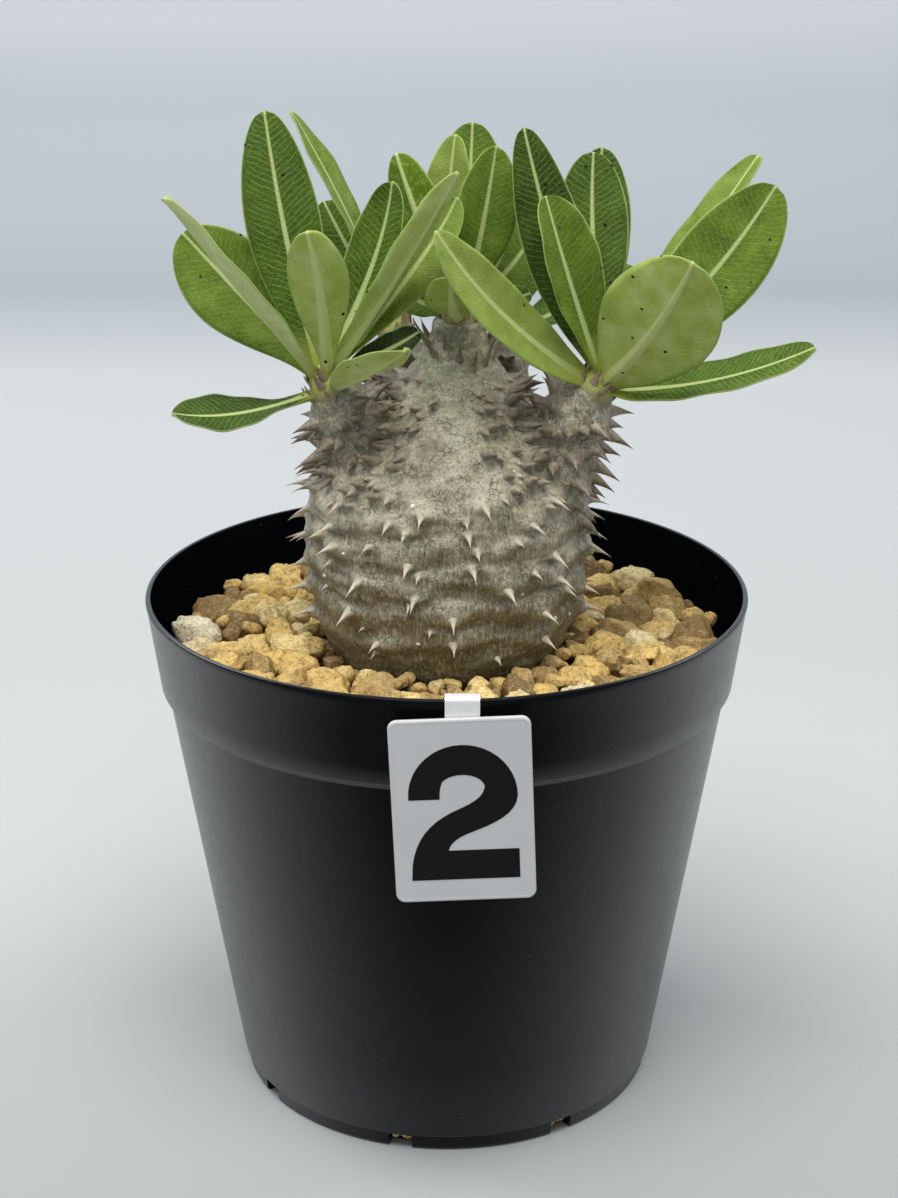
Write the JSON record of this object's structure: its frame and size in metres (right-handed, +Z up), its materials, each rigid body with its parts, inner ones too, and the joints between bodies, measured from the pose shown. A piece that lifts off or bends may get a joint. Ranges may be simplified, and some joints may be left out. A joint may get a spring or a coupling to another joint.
{
  "type": "potted caudex plant",
  "caption": "Potted spiny caudex plant: squat silver-brown trunk with heads of oval green leaves, in grit in a round black nursery pot with a number tag.",
  "frame": {"origin": "middle of the pot's flat underside, where it rests", "axes": "+Z up the pot's axis; -Y is the front, where the number tag hangs; +X is to the right seen from the front"},
  "size_m": [0.1281, 0.1222, 0.1978],
  "materials": {
    "pot_plastic": "thin black nursery-pot plastic, semi-gloss, lightly scratched",
    "grit": "dry tan and ochre pumice grit, matte",
    "bark": "silver-brown succulent bark with transverse wrinkles and spines, low sheen",
    "leaf": "leathery oval leaves, green above with a pale midrib and veins, paler and duller below",
    "tag_plastic": "light grey plastic plate with a plain black numeral",
    "clip_steel": "bright rolled strip"
  },
  "bodies": {
    "root": {"pot": "pot_plastic", "grit": "grit", "caudex": "bark", "leaves_left": "leaf", "leaves_centre": "leaf", "leaves_right": "leaf", "leaves_back_left": "leaf", "leaves_back_right": "leaf", "tag_plate": "tag_plastic", "tag_clip": "clip_steel"}
  },
  "joints": []
}
